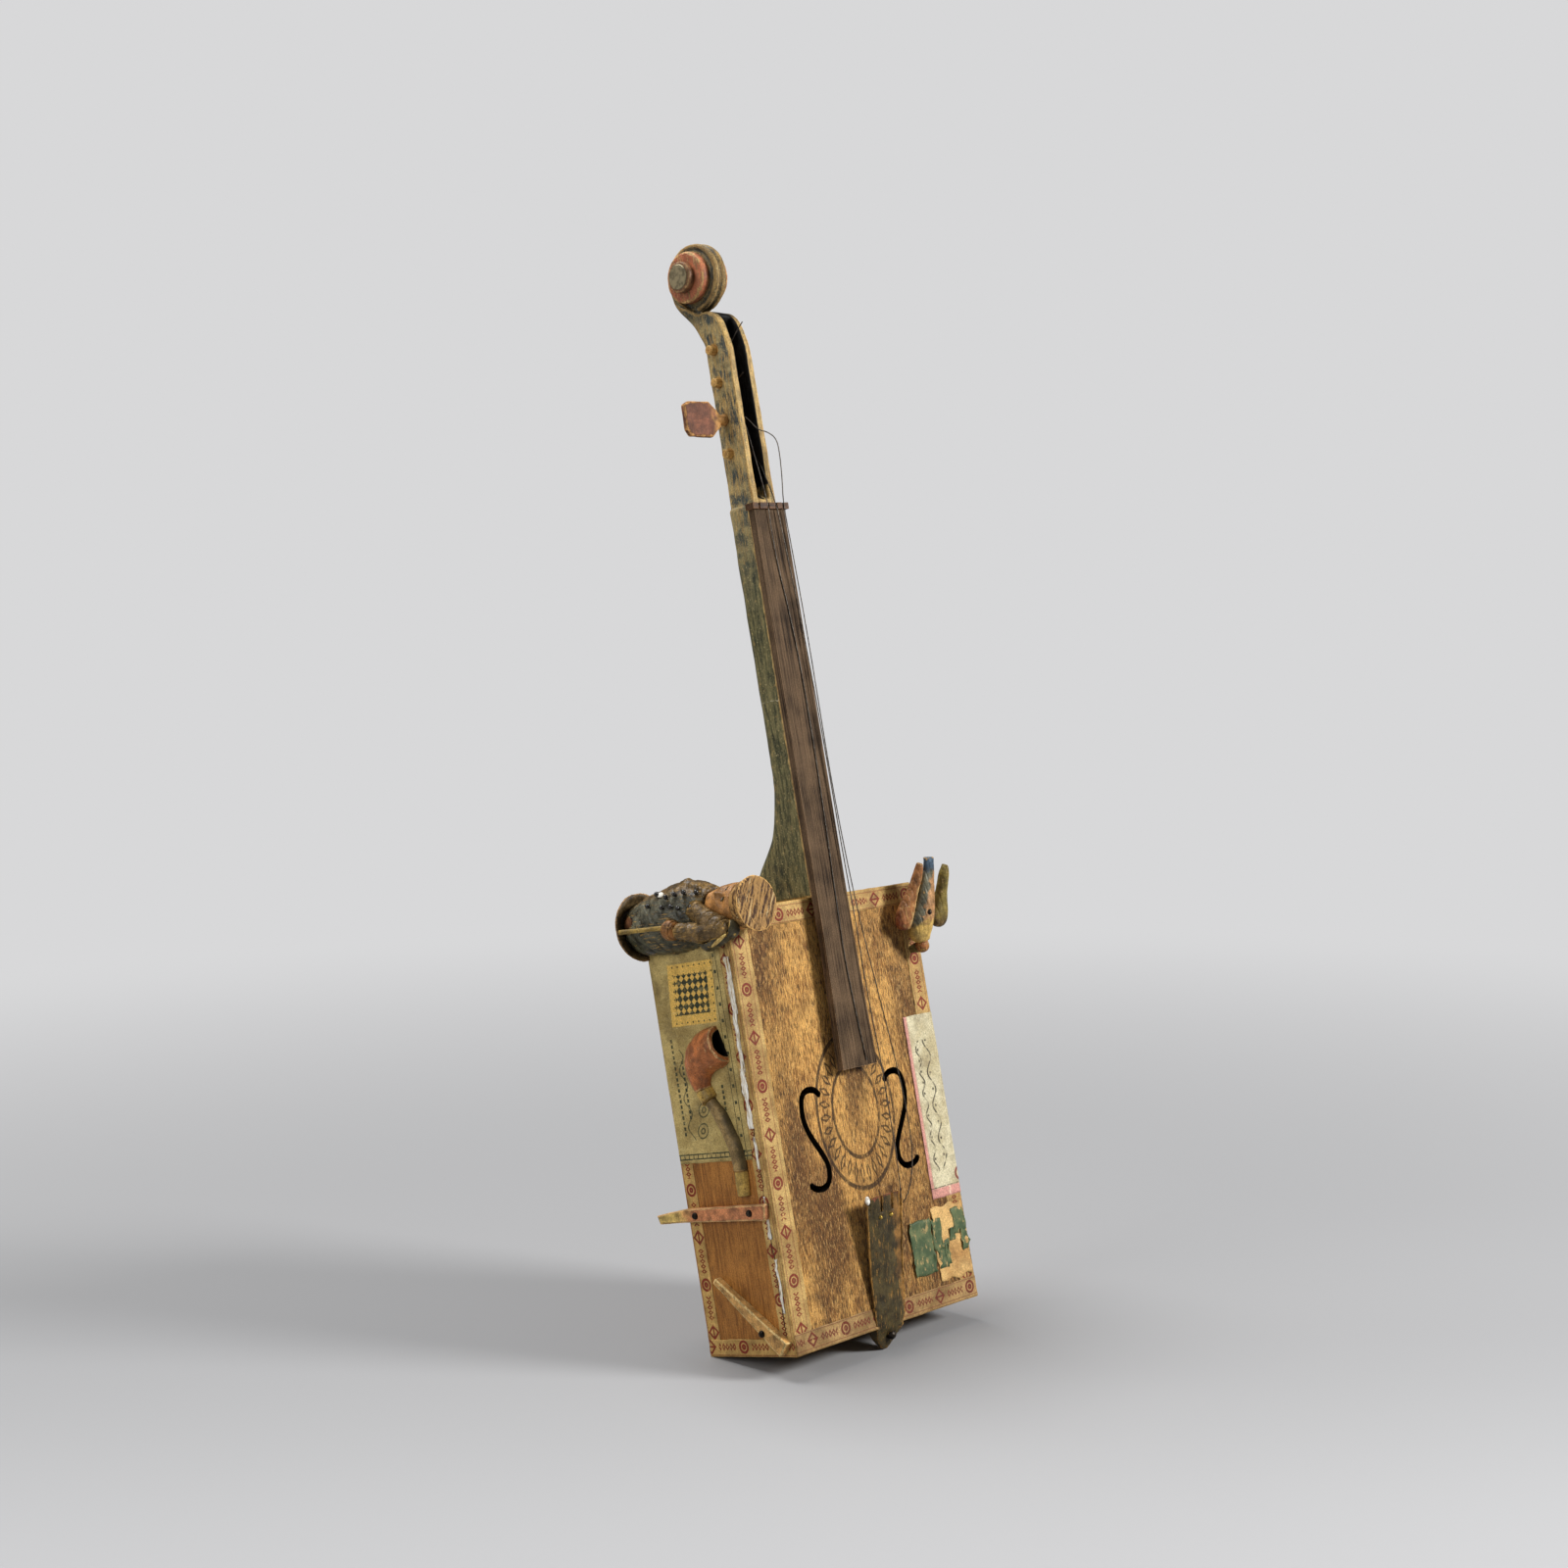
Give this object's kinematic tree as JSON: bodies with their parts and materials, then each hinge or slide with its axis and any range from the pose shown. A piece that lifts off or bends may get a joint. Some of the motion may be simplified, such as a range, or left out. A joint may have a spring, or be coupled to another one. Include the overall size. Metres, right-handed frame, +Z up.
{
  "type": "cigar box fiddle",
  "caption": "Home-made fiddle on a wooden cigar box: carved neck with pegbox and scroll, leaning tailpiece, slack strings and small painted carvings nailed on.",
  "frame": {"origin": "centre of the box's flat back face", "axes": "+Z up along the neck to the scroll, +Y out of the box's back, -Y is the front with the strings"},
  "size_m": [0.1779, 0.1087, 0.6028],
  "materials": {
    "cigar_box_wood": "worn cedar under dark paper edging",
    "block_wood": "plain softwood",
    "steel_wire": "dull",
    "dark_nail": "blackened, satin",
    "neck_paint": "worn green-black paint over ochre",
    "red_disc": "worn red paint",
    "grey_cap": "dull",
    "dark_board": "oiled dark wood",
    "nut_wood": "dark stained",
    "peg_wood": "worn",
    "tailpiece_paint": "worn green-black paint",
    "brass_end": "dull",
    "pipe_bowl_wood": "red-brown varnish",
    "pipe_stem_wood": "olive varnish",
    "ferrule_paint": "gold paint",
    "strip_wood": "worn pink and yellow paint",
    "bird_blue": "grey-blue and peach paint",
    "bird_red": "red paint",
    "beak_dark": "dark paint",
    "wing_brown": "orange-brown paint",
    "wing_olive": "olive paint",
    "coat_blue": "worn blue-grey paint",
    "hat_wood": "end grain",
    "face_wood": "orange-brown stain",
    "sleeve_olive": "olive-brown paint",
    "baton_wood": "yellow-olive paint",
    "scarf_dark": "dark gloss paint",
    "black_bead": "gloss black pin heads"
  },
  "bodies": {
    "fiddle": {"back_panel": "cigar_box_wood", "bird_beak": "beak_dark", "bird_body": "bird_blue", "bird_head": "bird_red", "bird_nail": "dark_nail", "bird_wing_left": "wing_brown", "bird_wing_right": "wing_olive", "bottom_end": "cigar_box_wood", "box_nails": "steel_wire", "corner_stick": "strip_wood", "figure_arm": "sleeve_olive", "figure_baton": "baton_wood", "figure_coat": "coat_blue", "figure_hand": "face_wood", "figure_hat": "hat_wood", "figure_head": "face_wood", "figure_hem": "sleeve_olive", "figure_legs": "sleeve_olive", "figure_pins": "black_bead", "figure_scarf": "scarf_dark", "fingerboard": "dark_board", "front_panel": "cigar_box_wood", "left_side": "cigar_box_wood", "neck": "neck_paint", "neck_block": "block_wood", "neck_screws": "steel_wire", "nut": "nut_wood", "pipe_bowl": "pipe_bowl_wood", "pipe_ferrule": "ferrule_paint", "pipe_mouthpiece": "ferrule_paint", "pipe_stem": "pipe_stem_wood", "right_side": "cigar_box_wood", "scroll_boss_left": "red_disc", "scroll_boss_right": "red_disc", "scroll_cap_left": "grey_cap", "scroll_cap_right": "grey_cap", "scroll_disc_left": "red_disc", "scroll_disc_right": "red_disc", "side_nails": "dark_nail", "side_strip": "strip_wood", "string_2": "steel_wire", "string_3": "steel_wire", "string_4": "steel_wire", "string_knots": "brass_end", "tail_block": "block_wood", "tailpiece": "tailpiece_paint", "tailpiece_nail": "dark_nail", "top_end": "cigar_box_wood", "wire_stubs": "steel_wire"},
    "peg_1": {"peg_1": "peg_wood"},
    "peg_2": {"peg_2": "peg_wood"},
    "peg_3": {"peg_3": "peg_wood"},
    "peg_4": {"peg_4": "peg_wood"}
  },
  "joints": [
    {"name": "peg_1_turn", "type": "hinge", "parent": "fiddle", "child": "peg_1", "pos_m": [0, -0.059, 0.4135], "axis": [1, 0, 0], "continuous": true},
    {"name": "peg_2_turn", "type": "hinge", "parent": "fiddle", "child": "peg_2", "pos_m": [0, -0.059, 0.3955], "axis": [1, 0, 0], "continuous": true},
    {"name": "peg_3_turn", "type": "hinge", "parent": "fiddle", "child": "peg_3", "pos_m": [0, -0.059, 0.375], "axis": [1, 0, 0], "continuous": true},
    {"name": "peg_4_turn", "type": "hinge", "parent": "fiddle", "child": "peg_4", "pos_m": [0, -0.059, 0.3565], "axis": [1, 0, 0], "continuous": true}
  ]
}
